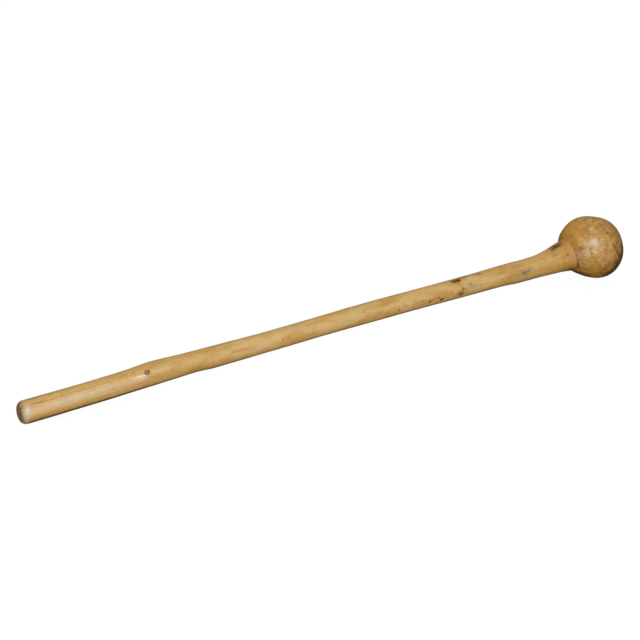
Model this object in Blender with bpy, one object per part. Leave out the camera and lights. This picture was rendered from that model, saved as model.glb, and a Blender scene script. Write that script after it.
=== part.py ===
"""Ball-headed wooden stick, lying on a level surface with its ball towards +X.

Units are metres and +Z is up. The origin is on the surface, under the middle of the overall length.
The stick is three pieces of wood:
  shaft      a natural branch with a crook, a swelling neck, a cupped shoulder and a round tenon
  ball_head  a ball bored for the tenon, with a small worn flat that it rests on
  knot_stub  the dead end of a side branch, which sits in its own hole in the shaft's crook
"""
import math

import bmesh
import bpy
from mathutils import Matrix, Vector

MM = 0.001

# Overall sizes. The ball is slightly flattened: its short axis leans up from the shaft's line.
OVERALL_LENGTH = 647 * MM
BALL_LONG_RADIUS = 33.4 * MM
BALL_SHORT_RADIUS = 30.5 * MM
BALL_LEAN = math.radians(45)      # of the short axis, from +X towards +Z
REST_FLAT_DEPTH = 0.45 * MM       # worn flat under the ball
FIT_GAP = 0.3 * MM                # between pieces that touch

# Shaft, as stations from the sawn butt: distance, radius, sideways shift, rise above the straight line
# from the butt's centre to the ball's centre (all in millimetres)
SHAFT_STATIONS = (
    (0, 11.0, 0.0, 0.0),
    (25, 10.9, -0.2, 0.0),
    (60, 10.7, -0.5, 0.3),
    (86, 10.7, -0.9, 0.9),
    (105, 10.7, -1.2, 1.6),
    (118, 11.0, -1.4, 2.4),
    (128, 11.2, -1.4, 2.7),
    (139, 10.9, -1.3, 2.6),
    (158, 10.3, -0.9, 2.1),
    (173, 10.0, -0.5, 1.7),
    (187, 10.3, -0.1, 0.7),
    (203, 10.2, 0.2, 0.1),
    (235, 9.8, 0.7, -0.7),
    (265, 9.7, 1.0, -1.0),
    (315, 9.7, 1.1, -1.1),
    (367, 10.0, 0.9, -1.3),
    (402, 9.8, 0.7, -1.8),
    (450, 9.9, 0.3, -2.6),
    (485, 10.2, 0.0, -3.0),
    (508, 10.6, -0.2, -3.1),
    (521, 11.0, -0.3, -3.7),
    (532, 10.9, -0.3, -4.1),
    (550, 11.2, -0.2, -4.1),
    (562, 12.5, -0.1, -3.3),
    (576, 14.7, 0.0, -1.5),
    (594, 17.3, 0.0, -0.6),
)
BUTT_RIM = 4.0 * MM               # rounding of the sawn end's edge
OVAL_SHARE = 0.012                # how far the section is from round
OVAL_TWIST = math.radians(140)    # how far the oval turns from butt to ball
RING_STEP = 14 * MM               # ring spacing along the plain stretch
NECK_START = 508 * MM             # from the butt, where the neck begins to swell
NECK_END = 594 * MM               # just inside the ball
NECK_RINGS = 14
SHOULDER_RINGS = 3
SHAFT_SIDES = 32
BISECTIONS = 30

# Joint between shaft and ball
TENON_RADIUS = 8.0 * MM
TENON_END = 4.0 * MM              # how far the tenon passes the ball's centre
TENON_CHAMFER = 1.0 * MM
SOCKET_CLEARANCE = 1.0 * MM       # room left beyond the tenon's end

# Dead side branch in the crook
KNOT_FROM_BUTT = 120 * MM
KNOT_ANGLE = math.radians(136)    # round the shaft, from +Y towards +Z
KNOT_OUTER_RADIUS = 2.6 * MM
KNOT_INNER_RADIUS = 1.9 * MM
KNOT_DEPTH = 7.0 * MM
KNOT_CROWN = 0.25 * MM            # how far its worn end stands proud
KNOT_SIDES = 16

BALL_SIDES = 48
BALL_RINGS = 24


def ball_reach(lean_share):
    """How far the ball reaches in a direction whose cosine to its short axis is given."""
    long_part = BALL_LONG_RADIUS ** 2 * (1 - lean_share ** 2)
    short_part = BALL_SHORT_RADIUS ** 2 * lean_share ** 2
    return math.sqrt(long_part + short_part)


# Where things are
BALL_SHORT_AXIS = Vector((math.cos(BALL_LEAN), 0.0, math.sin(BALL_LEAN)))
BUTT_X = -OVERALL_LENGTH / 2
BALL_CENTRE = Vector((
    OVERALL_LENGTH / 2 - ball_reach(BALL_SHORT_AXIS.x),
    0.0,
    ball_reach(BALL_SHORT_AXIS.z) - REST_FLAT_DEPTH,
))
BUTT_CENTRE = Vector((BUTT_X, 0.0, SHAFT_STATIONS[0][1] * MM * (1 + OVAL_SHARE)))


def clear_scene():
    """Remove every object, so that the model starts from an empty scene."""
    for obj in list(bpy.data.objects):
        bpy.data.objects.remove(obj, do_unlink=True)


def smooth_value(stations, distance, column):
    """Read one column of a station list on a smooth curve through its points."""
    last = len(stations) - 1
    left = 0
    while left < last - 1 and stations[left + 1][0] < distance:
        left += 1
    right = left + 1

    def slope(index):
        before = stations[max(index - 1, 0)]
        after = stations[min(index + 1, last)]
        return (after[column] - before[column]) / (after[0] - before[0])

    span = stations[right][0] - stations[left][0]
    t = min(max((distance - stations[left][0]) / span, 0.0), 1.0)
    return (
        (2 * t ** 3 - 3 * t ** 2 + 1) * stations[left][column]
        + (t ** 3 - 2 * t ** 2 + t) * span * slope(left)
        + (3 * t ** 2 - 2 * t ** 3) * stations[right][column]
        + (t ** 3 - t ** 2) * span * slope(right)
    )


def shaft_radius(from_butt):
    return smooth_value(SHAFT_STATIONS, from_butt / MM, 1) * MM


def shaft_centre(from_butt):
    """Centre of the shaft's section at a distance from the butt."""
    share = from_butt / (BALL_CENTRE.x - BUTT_X)
    centre = BUTT_CENTRE.lerp(BALL_CENTRE, share)
    centre.y += smooth_value(SHAFT_STATIONS, from_butt / MM, 2) * MM
    centre.z += smooth_value(SHAFT_STATIONS, from_butt / MM, 3) * MM
    return centre


def around(angle):
    """Unit vector at an angle round the shaft, from +Y towards +Z."""
    return Vector((0.0, math.cos(angle), math.sin(angle)))


def shaft_point(from_butt, angle, inset=0.0):
    """Point on the shaft's slightly oval surface, or under it by the inset."""
    share = from_butt / OVERALL_LENGTH
    oval = 1 + OVAL_SHARE * math.cos(2 * (angle + math.pi / 2 - OVAL_TWIST * share))
    radius = shaft_radius(from_butt) * oval - inset
    return shaft_centre(from_butt) + around(angle) * radius


def ring_angles(sides):
    return [2 * math.pi * (side + 0.5) / sides for side in range(sides)]


def add_ring(bm, points):
    return [bm.verts.new(point) for point in points]


def bridge(bm, first, second):
    """Join two rings of the same size with a band of quads."""
    count = len(first)
    for i in range(count):
        j = (i + 1) % count
        bm.faces.new((first[i], first[j], second[j], second[i]))


def loft(bm, rings):
    """Make a closed solid from rings: a band between neighbours and a face at each end."""
    made = [add_ring(bm, ring) for ring in rings]
    for first, second in zip(made, made[1:]):
        bridge(bm, first, second)
    bm.faces.new(made[0])
    bm.faces.new(made[-1])
    bmesh.ops.recalc_face_normals(bm, faces=bm.faces)


def new_object(name, bm, material=None):
    """Turn a bmesh into a named, smooth-shaded object."""
    mesh = bpy.data.meshes.new(name)
    bm.to_mesh(mesh)
    bm.free()
    mesh.shade_smooth()
    mesh.set_sharp_from_angle(angle=math.radians(35))
    obj = bpy.data.objects.new(name, mesh)
    bpy.context.scene.collection.objects.link(obj)
    if material is not None:
        mesh.materials.append(material)
    return obj


def wood(name, colour, roughness):
    """Plain wood material with one colour."""
    material = bpy.data.materials.new(name)
    material.use_nodes = True
    shader = material.node_tree.nodes["Principled BSDF"]
    shader.inputs["Base Color"].default_value = (*colour, 1.0)
    shader.inputs["Roughness"].default_value = roughness
    shader.inputs["Metallic"].default_value = 0.0
    return material


def cut(target, cutter):
    """Subtract a hidden cutter from a piece."""
    cutter.hide_render = True
    cutter.display_type = 'WIRE'
    modifier = target.modifiers.new("cut_" + cutter.name, 'BOOLEAN')
    modifier.operation = 'DIFFERENCE'
    modifier.solver = 'EXACT'
    modifier.object = cutter


def ball_level(point):
    """Below 1 inside the ball grown by the fit gap, 1 on its surface and above 1 outside."""
    offset = point - BALL_CENTRE
    along = offset.dot(BALL_SHORT_AXIS)
    across_squared = offset.length_squared - along ** 2
    return (
        across_squared / (BALL_LONG_RADIUS + FIT_GAP) ** 2
        + along ** 2 / (BALL_SHORT_RADIUS + FIT_GAP) ** 2
    )


def meet_ball(path):
    """Point where a path, a function of 0 to 1 that runs into the ball, meets its surface."""
    outside, inside = 0.0, 1.0
    for _ in range(BISECTIONS):
        middle = (outside + inside) / 2
        if ball_level(path(middle)) > 1:
            outside = middle
        else:
            inside = middle
    return path(inside)


def neck_ring(share, angles):
    """Ring of the neck: upright where it starts (0), lying on the ball's surface at its end (1)."""
    ring = []
    for angle in angles:
        def down_neck(t):
            return shaft_point(NECK_START + (NECK_END - NECK_START) * t, angle)

        reach = meet_ball(down_neck).x - BUTT_X
        ring.append(shaft_point(NECK_START + (reach - NECK_START) * share, angle))
    return ring


def shoulder_ring(share, angles):
    """Ring of the cupped shoulder, from the neck's edge (0) in to the tenon (1)."""
    ring = []
    for angle, edge in zip(angles, neck_ring(1.0, angles)):
        root = BALL_CENTRE + around(angle) * TENON_RADIUS
        place = edge.lerp(root, share)

        def along_x(t):
            return Vector((BALL_CENTRE.x - 2 * BALL_LONG_RADIUS * (1 - t), place.y, place.z))

        ring.append(meet_ball(along_x))
    return ring


def tenon_ring(end_x, radius, angles):
    centre = Vector((end_x, BALL_CENTRE.y, BALL_CENTRE.z))
    return [centre + around(angle) * radius for angle in angles]


def make_shaft(material):
    """Branch from the sawn butt to the tenon's end."""
    angles = ring_angles(SHAFT_SIDES)
    rings = [[shaft_point(0.0, angle, BUTT_RIM) for angle in angles]]
    for turn in (60, 30, 0):
        rim = math.radians(turn)
        distance = BUTT_RIM * (1 - math.sin(rim))
        inset = BUTT_RIM * (1 - math.cos(rim))
        rings.append([shaft_point(distance, angle, inset) for angle in angles])

    plain_count = round((NECK_START - BUTT_RIM) / RING_STEP)
    for i in range(1, plain_count):
        distance = BUTT_RIM + (NECK_START - BUTT_RIM) * i / plain_count
        rings.append([shaft_point(distance, angle) for angle in angles])

    for i in range(NECK_RINGS + 1):
        rings.append(neck_ring(i / NECK_RINGS, angles))
    for i in range(1, SHOULDER_RINGS + 1):
        rings.append(shoulder_ring(i / SHOULDER_RINGS, angles))
    tenon_end = BALL_CENTRE.x + TENON_END
    rings.append(tenon_ring(tenon_end - TENON_CHAMFER, TENON_RADIUS, angles))
    rings.append(tenon_ring(tenon_end, TENON_RADIUS - TENON_CHAMFER, angles))

    bm = bmesh.new()
    loft(bm, rings)
    return new_object("shaft", bm, material)


def make_ball_head(material):
    """Flattened ball, its poles on its short axis, with a small flat underneath."""
    bm = bmesh.new()
    bmesh.ops.create_uvsphere(bm, u_segments=BALL_SIDES, v_segments=BALL_RINGS, radius=1.0)
    radii = Matrix.Diagonal((BALL_LONG_RADIUS, BALL_LONG_RADIUS, BALL_SHORT_RADIUS, 1.0))
    lean = BALL_SHORT_AXIS.to_track_quat('Z', 'Y').to_matrix().to_4x4()
    bmesh.ops.transform(bm, verts=bm.verts, matrix=Matrix.Translation(BALL_CENTRE) @ lean @ radii)
    cut_plane = bmesh.ops.bisect_plane(
        bm,
        geom=bm.verts[:] + bm.edges[:] + bm.faces[:],
        plane_co=(0.0, 0.0, 0.0),
        plane_no=(0.0, 0.0, -1.0),
        clear_outer=True,
    )
    rim = [item for item in cut_plane["geom_cut"] if isinstance(item, bmesh.types.BMEdge)]
    bmesh.ops.contextual_create(bm, geom=rim)
    bmesh.ops.recalc_face_normals(bm, faces=bm.faces)
    return new_object("ball_head", bm, material)


def make_socket_cutter():
    """Blind hole for the tenon, open towards the shaft."""
    mouth_x = BALL_CENTRE.x - BALL_LONG_RADIUS - 2 * MM
    end_x = BALL_CENTRE.x + TENON_END + SOCKET_CLEARANCE
    radius = TENON_RADIUS + FIT_GAP
    bm = bmesh.new()
    rings = []
    for x in (mouth_x, end_x):
        centre = Vector((x, BALL_CENTRE.y, BALL_CENTRE.z))
        rings.append([centre + around(angle) * radius for angle in ring_angles(SHAFT_SIDES)])
    loft(bm, rings)
    return new_object("socket_cutter", bm)


def knot_frame():
    """Place and outward direction of the dead side branch: origin on the shaft, local +Z outward."""
    surface = shaft_point(KNOT_FROM_BUTT, KNOT_ANGLE)
    outward = around(KNOT_ANGLE)
    return Matrix.Translation(surface) @ outward.to_track_quat('Z', 'Y').to_matrix().to_4x4()


def knot_rings(margin, crown):
    """Tapered plug from its inner end to its worn outer end, grown by a margin."""
    profile = (
        (KNOT_INNER_RADIUS + margin, -KNOT_DEPTH - margin),
        (KNOT_OUTER_RADIUS + margin, 0.0),
        ((KNOT_OUTER_RADIUS + margin) * 0.6, crown),
    )
    frame = knot_frame()
    rings = []
    for radius, height in profile:
        rings.append([
            frame @ Vector((radius * math.cos(angle), radius * math.sin(angle), height))
            for angle in ring_angles(KNOT_SIDES)
        ])
    return rings


def make_knot_stub(material):
    bm = bmesh.new()
    loft(bm, knot_rings(0.0, KNOT_CROWN))
    return new_object("knot_stub", bm, material)


def make_knot_cutter():
    bm = bmesh.new()
    loft(bm, knot_rings(FIT_GAP, 2 * MM))
    return new_object("knot_cutter", bm)


def build():
    clear_scene()
    shaft = make_shaft(wood("shaft_wood", (0.55, 0.36, 0.16), 0.42))
    ball_head = make_ball_head(wood("ball_wood", (0.42, 0.25, 0.10), 0.40))
    make_knot_stub(wood("knot_wood", (0.20, 0.11, 0.05), 0.60))
    cut(shaft, make_knot_cutter())
    cut(ball_head, make_socket_cutter())


build()
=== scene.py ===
"""Ball-headed wooden stick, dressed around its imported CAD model: fine meshes and procedural wood.

Everything is in metres in the CAD's own frame: +X from the sawn butt to the ball, +Z up, the level
surface at z = 0. Angles round the shaft are in degrees from +Y towards +Z, so -Y, the camera's side,
is 180. Places on the shaft are millimetres from the butt; places on the ball are directions.
"""
import itertools
import math

import bpy
import numpy as np
from mathutils import Matrix, Vector


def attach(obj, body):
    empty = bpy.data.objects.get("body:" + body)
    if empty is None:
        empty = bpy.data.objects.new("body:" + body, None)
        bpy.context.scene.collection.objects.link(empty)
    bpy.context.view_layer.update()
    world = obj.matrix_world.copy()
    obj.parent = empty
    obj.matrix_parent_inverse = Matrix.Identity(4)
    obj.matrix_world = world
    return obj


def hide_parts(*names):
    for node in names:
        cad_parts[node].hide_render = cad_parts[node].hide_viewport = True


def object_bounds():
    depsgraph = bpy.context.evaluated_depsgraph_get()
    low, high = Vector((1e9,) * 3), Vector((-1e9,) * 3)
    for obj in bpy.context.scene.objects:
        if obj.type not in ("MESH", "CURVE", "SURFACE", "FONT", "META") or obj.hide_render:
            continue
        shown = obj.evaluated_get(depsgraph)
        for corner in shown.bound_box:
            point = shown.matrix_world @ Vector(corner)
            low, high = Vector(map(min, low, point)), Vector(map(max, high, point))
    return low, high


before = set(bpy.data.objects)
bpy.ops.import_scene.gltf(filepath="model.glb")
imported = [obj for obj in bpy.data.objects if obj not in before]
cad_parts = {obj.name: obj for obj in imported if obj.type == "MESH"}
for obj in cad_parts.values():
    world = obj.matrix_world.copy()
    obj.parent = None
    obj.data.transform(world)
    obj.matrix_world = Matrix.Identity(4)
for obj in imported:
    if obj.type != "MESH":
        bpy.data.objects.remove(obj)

MM = 0.001
CAD_LOW, CAD_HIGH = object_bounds()

# ---------------- driving dimensions
# They are the CAD's, except for the more worn rim of the butt, the neck's last station, which meets
# the fuller ball, the narrower gaps, and the smaller, oval stub
SHAFT_STATIONS = np.array((
    # from butt, radius, sideways shift, rise above the line from butt to ball (millimetres)
    (0, 11.0, 0.0, 0.0),
    (25, 10.9, -0.2, 0.0),
    (60, 10.7, -0.5, 0.3),
    (86, 10.7, -0.9, 0.9),
    (105, 10.7, -1.2, 1.6),
    (118, 11.0, -1.4, 2.4),
    (128, 11.2, -1.4, 2.7),
    (139, 10.9, -1.3, 2.6),
    (158, 10.3, -0.9, 2.1),
    (173, 10.0, -0.5, 1.7),
    (187, 10.3, -0.1, 0.7),
    (203, 10.2, 0.2, 0.1),
    (235, 9.8, 0.7, -0.7),
    (265, 9.7, 1.0, -1.0),
    (315, 9.7, 1.1, -1.1),
    (367, 10.0, 0.9, -1.3),
    (402, 9.8, 0.7, -1.8),
    (450, 9.9, 0.3, -2.6),
    (485, 10.2, 0.0, -3.0),
    (508, 10.6, -0.2, -3.1),
    (521, 11.0, -0.3, -3.7),
    (532, 10.9, -0.3, -4.1),
    (550, 11.2, -0.2, -4.1),
    (562, 12.5, -0.1, -3.3),
    (576, 14.7, 0.0, -1.5),
    (594, 17.9, 0.0, -0.6),
))
OVAL_SHARE = 0.012           # how far the section is from round
OVAL_TWIST = math.radians(140)    # how far the oval turns from butt to ball
BUTT_RIM = 5.2 * MM          # rounding of the sawn end's worn edge
NECK_START = 508 * MM        # from the butt
NECK_END = 594 * MM          # just inside the ball
BALL_LONG_RADIUS = 33.4 * MM
BALL_SHORT_RADIUS = 30.5 * MM
BALL_LEAN = math.radians(45)      # of the short axis, from +X towards +Z
REST_FLAT_DEPTH = 0.45 * MM       # worn flat under the ball
TENON_RADIUS = 8.0 * MM
TENON_END = 4.0 * MM         # past the ball's centre
TENON_CHAMFER = 1.0 * MM
SOCKET_CLEARANCE = 1.0 * MM  # beyond the tenon's end
SOCKET_FIT = 0.15 * MM       # between the tenon and the socket's wall
SEAM_GAP = 0.1 * MM          # between the neck and the ball
KNOT_PLACE = (120, 136)      # from butt (mm), angle
KNOT_RADIUS = 2.35 * MM
KNOT_FLATTENING = 0.80
KNOT_DEPTH = 7.0 * MM
KNOT_LEVEL = 0.55 * MM       # of the stub's end, above the shaft's plain outline
RECESS_DEPTH = 1.6 * MM      # of the hollow that the stub stands in

BALL_SHORT_AXIS = np.array((math.cos(BALL_LEAN), 0.0, math.sin(BALL_LEAN)))


def ball_reach(lean_share):
    """How far the ball reaches in a direction whose cosine to its short axis is given."""
    long_part = BALL_LONG_RADIUS ** 2 * (1 - lean_share ** 2)
    short_part = BALL_SHORT_RADIUS ** 2 * lean_share ** 2
    return math.sqrt(long_part + short_part)


BUTT_X = CAD_LOW[0]
OVERALL_LENGTH = CAD_HIGH[0] - CAD_LOW[0]
BALL_CENTRE = np.array((
    CAD_HIGH[0] - ball_reach(BALL_SHORT_AXIS[0]),
    0.0,
    ball_reach(BALL_SHORT_AXIS[2]) - REST_FLAT_DEPTH,
))
BUTT_CENTRE = np.array((BUTT_X, 0.0, SHAFT_STATIONS[0, 1] * MM * (1 + OVAL_SHARE)))


# ---------------- noise and small helpers
def unit(vectors):
    return vectors / np.linalg.norm(vectors, axis=-1, keepdims=True)


def ease(values):
    """Smooth step from 0 to 1, flat beyond both ends."""
    t = np.clip(values, 0.0, 1.0)
    return t * t * (3 - 2 * t)


def fade(values, start, end):
    """Smooth step from 0 at start to 1 at end, which may be the lower of the two."""
    return ease((values - start) / (end - start))


def hump(values, middle, width):
    """1 at the middle, falling smoothly to almost 0 at twice the width from it."""
    return np.exp(-((values - middle) / width) ** 2)


def cell_value(cells, seed):
    """A fixed number from 0 to 1 for each whole-number cell, the same on every run."""
    x, y, z = np.moveaxis(cells.astype(np.int64), -1, 0)
    mixed = (x * 374761393 + y * 668265263 + z * 962287 + seed * 1274126177) & 0xFFFFFFFF
    mixed = ((mixed ^ (mixed >> 13)) * 1274126177) & 0xFFFFFFFF
    return (mixed ^ (mixed >> 16)) / 0xFFFFFFFF


def noise(points, size, seed):
    """Smooth noise from -1 to 1. Its features are about as large as size, in metres, on each axis."""
    scaled = points / np.asarray(size) + 500.0
    base = np.floor(scaled)
    t = ease(scaled - base)
    total = np.zeros(points.shape[:-1])
    for corner in itertools.product((0, 1), repeat=3):
        weight = np.prod(np.where(np.array(corner) == 1, t, 1 - t), axis=-1)
        total += weight * cell_value(base + corner, seed)
    return 2 * total - 1


def layered_noise(points, layers):
    """Sum of noise layers, each given by its height, the size of its features (mm) and a seed."""
    return sum(height * noise(points, np.array(size) * MM, seed) for height, size, seed in layers)


def read_stations(distance, column):
    """One column of the station list, in metres, on a smooth curve through its points."""
    places = SHAFT_STATIONS[:, 0] * MM
    values = SHAFT_STATIONS[:, column] * MM
    last = len(places) - 1
    index = np.arange(last + 1)
    before, after = np.maximum(index - 1, 0), np.minimum(index + 1, last)
    slopes = (values[after] - values[before]) / (places[after] - places[before])
    left = np.clip(np.searchsorted(places, distance, side='left') - 1, 0, last - 1)
    span = places[left + 1] - places[left]
    t = np.clip((distance - places[left]) / span, 0.0, 1.0)
    return (
        (2 * t ** 3 - 3 * t ** 2 + 1) * values[left]
        + (t ** 3 - 2 * t ** 2 + t) * span * slopes[left]
        + (3 * t ** 2 - 2 * t ** 3) * values[left + 1]
        + (t ** 3 - t ** 2) * span * slopes[left + 1]
    )


def around(angle):
    """Unit vectors round the shaft's line, from +Y towards +Z; angle in radians."""
    return np.stack((np.zeros_like(angle), np.cos(angle), np.sin(angle)), axis=-1)


def shaft_centre(distance):
    share = np.asarray(distance / (BALL_CENTRE[0] - BUTT_X))[..., None]
    centre = BUTT_CENTRE * (1 - share) + BALL_CENTRE * share
    centre[..., 1] += read_stations(distance, 2)
    centre[..., 2] += read_stations(distance, 3)
    return centre


def shaft_radius(distance, angle):
    oval = np.cos(2 * (angle + math.pi / 2 - OVAL_TWIST * distance / OVERALL_LENGTH))
    return read_stations(distance, 1) * (1 + OVAL_SHARE * oval)


# ---------------- the ball's shape
# Flats and swellings that the carver left: direction from the ball's centre, height (mm), spread (degrees)
BALL_CARVING = (
    ((0.6, -0.1, 0.7), 0.6, 20),
    ((0.2, 0.4, 0.9), -0.8, 20),
    ((-0.5, 0.5, 0.7), 0.4, 22),
    ((0.9, -0.4, 0.0), -0.7, 20),
    ((0.2, -0.6, -0.8), 0.5, 20),
    ((-0.3, -0.3, -0.9), -0.6, 20),
    ((0.6, -0.8, 0.2), -0.4, 16),
    ((-0.2, 0.9, -0.2), 0.5, 26),
    ((0.7, 0.6, 0.3), -0.6, 24),
    ((0.1, 0.8, -0.6), -0.5, 22),
    ((-0.1, -0.9, 0.4), 0.2, 22),
)
# The burl swells a little round the neck
SHOULDER_HEIGHT = 1.6 * MM
SHOULDER_ANGLE = 37          # degrees from the neck's line
SHOULDER_SPREAD = 12         # degrees


def near_direction(directions, centre, spread):
    """1 at a direction on the ball, falling smoothly with the angle from it; spread in degrees."""
    cosine = np.clip(directions @ (np.array(centre) / np.linalg.norm(centre)), -1.0, 1.0)
    return hump(np.degrees(np.arccos(cosine)), 0, spread)


def ball_radius(directions):
    """The ball's hand-carved outline, without its fine relief."""
    along = directions @ BALL_SHORT_AXIS
    radius = 1 / np.sqrt((1 - along ** 2) / BALL_LONG_RADIUS ** 2 + along ** 2 / BALL_SHORT_RADIUS ** 2)
    for centre, height, spread in BALL_CARVING:
        radius = radius + height * MM * near_direction(directions, centre, spread)
    from_neck = np.degrees(np.arccos(np.clip(-directions[..., 0], -1.0, 1.0)))
    return radius + SHOULDER_HEIGHT * hump(from_neck, SHOULDER_ANGLE, SHOULDER_SPREAD)


def above_ball(points, gap):
    """Height of points over the ball's carved surface, less a gap."""
    offsets = points - BALL_CENTRE
    distance = np.linalg.norm(offsets, axis=-1)
    return distance - ball_radius(offsets / distance[..., None]) - gap


def meet_ball(path, gap):
    """Values from 0 to 1 where a path, a function that runs into the ball, meets it."""
    outside, inside = 0.0, 1.0
    for _ in range(24):
        middle = (outside + inside) / 2
        clear = above_ball(path(middle), gap) > 0
        outside, inside = np.where(clear, middle, outside), np.where(clear, inside, middle)
    return inside


# ---------------- marks on the shaft
# Insect holes and pin knots: from butt (mm), angle, length, width and depth (mm), then the stain round
# each: mask, length, width (mm), strength
HOLES = (
    (171.5, 192, 1.6, 1, 0.25, "bark_and_shade", 2.2, 1.5, 0.3),
    (259.4, 159, 1.2, 0.9, 0.35, "bark_and_shade", 1.6, 1.4, 0.66),
    (347.4, 138, 1, 0.8, 0.5, "bark_and_shade", 1.5, 1.3, 0.68),
    (385.1, 183, 0.7, 0.7, 0.6, "bark_and_shade", 1.6, 1.4, 0.9),
    (419.3, 182, 1.3, 1.2, 1, "bark_and_shade", 2.4, 2, 1),
    (428.7, 174, 1, 0.7, 0.6, "bark_and_shade", 2.6, 1.6, 0.9),
    (432.2, 189, 2, 1.5, 1.4, "bark_and_shade", 3.4, 2.5, 1.3),
    (577.3, 147, 1.2, 1, 0.5, "bark_and_shade", 2.2, 2, 0.75),
    (518.8, 165, 1, 0.8, 0.3, "umber_and_shade", 2.6, 2.2, 0.4),
    (212, 20, 1.2, 1.2, 1, "bark_and_shade", 1.8, 1.7, 0.9),
    (305, 322, 1.3, 1.1, 1, "bark_and_shade", 2, 1.6, 0.9),
    (312.5, 331, 0.9, 0.9, 0.7, "bark_and_shade", 1.5, 1.4, 0.8),
    (366, 62, 1.1, 1, 0.9, "bark_and_shade", 1.6, 1.5, 0.9),
    (476, 12, 1.5, 1.1, 1, "bark_and_shade", 2.3, 1.8, 0.9),
    (70, 300, 1, 0.8, 0.7, "bark_and_shade", 1.5, 1.3, 0.8),
)
# Swellings and dents: from butt (mm), angle, length, width, height (mm, negative for a dent)
SWELLINGS = (
    (0, 240, 100, 12, -0.4),
    (120, 136, 13, 8, 0.55),
    (116.5, 153, 7, 4.5, 0.45),
    (140, 160, 14, 7, -0.15),
    (183, 235, 16, 9, 0.1),
    (262, 158, 8, 5, 0.25),
    (297, 215, 22, 8, -0.2),
    (396, 161, 9, 6, 0.35),
    (409, 170, 7, 6, -0.2),
    (452, 100, 10, 6, -0.45),
    (445, 150, 16, 8, 0.35),
    (470, 160, 16, 9, -0.25),
    (519, 232, 9, 8, 0.1),
    (510, 180, 30, 60, -0.22),
    (524, 162, 8, 5, -0.25),
    (571, 77, 10, 7, -0.35),
    (333, 20, 14, 8, 0.5),
    (238, 350, 10, 7, 0.4),
    (455, 320, 18, 10, 0.35),
)
# Other stains by mask, with some painted shade and painted highlights among them: from butt (mm), angle,
# length, width (mm), strength
TINTS = {
    "bark_and_shade": (
        (448.5, 94, 6, 2.4, 0.35), (451.5, 96, 6, 4.2, 0.95), (455.5, 101, 4.2, 4.4, 1.1),
        (454, 188, 3.6, 2.6, 0.4), (479.5, 96, 4.5, 2.4, 0.35), (567.5, 89, 5, 3.6, 0.7),
        (571.5, 85, 8, 5, 0.75), (577, 79, 6, 4, 0.55),
    ),
    # Those at 574 and 583 mm are painted shade at the foot of the seam's crease.
    "umber_and_shade": (
        (264, 159, 4, 2.2, 0.35), (349.5, 122, 5, 2.4, 0.35), (424, 173, 5, 1.5, 0.6),
        (411, 166, 4, 1.4, 0.65), (414, 174, 3, 1.4, 0.5), (405.5, 170, 3, 1.4, 0.5),
        (402, 158, 2.4, 1.2, 0.45), (392, 168, 3, 1.6, 0.55), (462, 84, 30, 3, 0.7),
        (456.5, 160, 3.4, 3.6, 0.55), (454.5, 187, 5.5, 4.2, 0.95), (565, 122, 4, 3, 0.35),
        (574, 196, 7, 4, 0.4), (583, 218, 12, 10, 0.7), (571, 20, 12, 7, 0.8),
        (17, 118, 9, 4, 0.35), (8, 190, 8, 5, 0.3), (14, 66, 30, 7, 0.5),
    ),
    "slate": (
        (527.5, 161, 5.4, 3.4, 0.8), (532, 156, 3, 2, 0.6),
    ),
    "copper": (
        (466.4, 146, 4, 3.8, 1), (469, 160, 7, 5, 0.5), (519, 112, 7, 4, 0.6),
        (527.5, 161, 7, 4.8, 0.8), (532.5, 156, 7, 4, 0.8), (505, 340, 8, 6, 0.7),
    ),
    "grey": (
        (457.5, 160, 3.4, 6, 0.3), (479.5, 94, 8, 4, 0.7), (523.5, 116, 8, 3.8, 0.4),
        (572, 85, 14, 10, 0.8),
    ),
    "amber": (
        (264, 158, 8.5, 4.6, 0.6), (349.5, 122, 8, 4, 0.6), (418, 180, 13, 4.5, 0.7),
        (436, 184, 9, 4.5, 0.7), (391, 166, 6, 3, 0.8), (402.5, 166, 5, 3, 0.8),
        (461, 98, 8, 5, 0.8), (461.5, 184, 8, 4, 0.7), (582, 108, 16, 18, 1.3),
        (580, 196, 14, 12, 0.9), (556, 180, 10, 6, 0.5), (333, 20, 12, 6, 0.7),
        (238, 350, 9, 5, 0.7),
    ),
    # Those from 112 to 168 mm, beside and beyond the knot, are painted highlight; the rest are paler wood.
    "pale_and_sheen": (
        (254, 158, 6, 3.5, 0.6), (396.5, 160, 8, 4.4, 1.3), (386, 158, 9, 4, 0.7),
        (408, 158, 6, 3, 0.7), (470, 164, 9, 7, 0.6), (168, 142, 30, 7, 0.7),
        (112, 154, 16, 6, 0.8), (136, 142, 22, 6, 0.8),
    ),
    "rose": (
        (584, 148, 10, 15, 0.6),
    ),
    # Mostly painted highlight: the glint beside the knot, the sheen along the grip and beyond the knot, and
    # the bright patch at the butt's rim.
    "scuff_and_highlight": (
        (396, 158, 5, 2, 0.3), (116, 154, 5, 2.4, 1.6), (50, 151, 100, 7, 0.55),
        (3.6, 151, 7.5, 14, 0.9), (134, 143, 18, 4.5, 0.35),
    ),
    "polish": (
        (116.5, 153, 12, 7, 1), (40, 150, 180, 24, 0.6),
    ),
}
MASKS = (
    "bark_and_shade", "umber_and_shade", "slate", "copper", "grey", "amber", "pale_and_sheen", "rose", "scuff_and_highlight", "polish",
    "end_grain", "burl",
)
# Healed scar round a node: angle and distance from the butt (mm) of the curve it follows
SCAR_CURVE = (
    (90, 444), (104, 448), (120, 451.5), (144, 455.5), (160, 457.5), (175, 456.5), (188, 453.5),
    (205, 449),
)
# Relief across the scar, a groove and a lip: height (mm), place from the curve (mm), width (mm)
SCAR_RELIEF = (
    (-0.22, 0.0, 0.9),
    (0.26, -2.2, 1.3),
)
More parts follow.
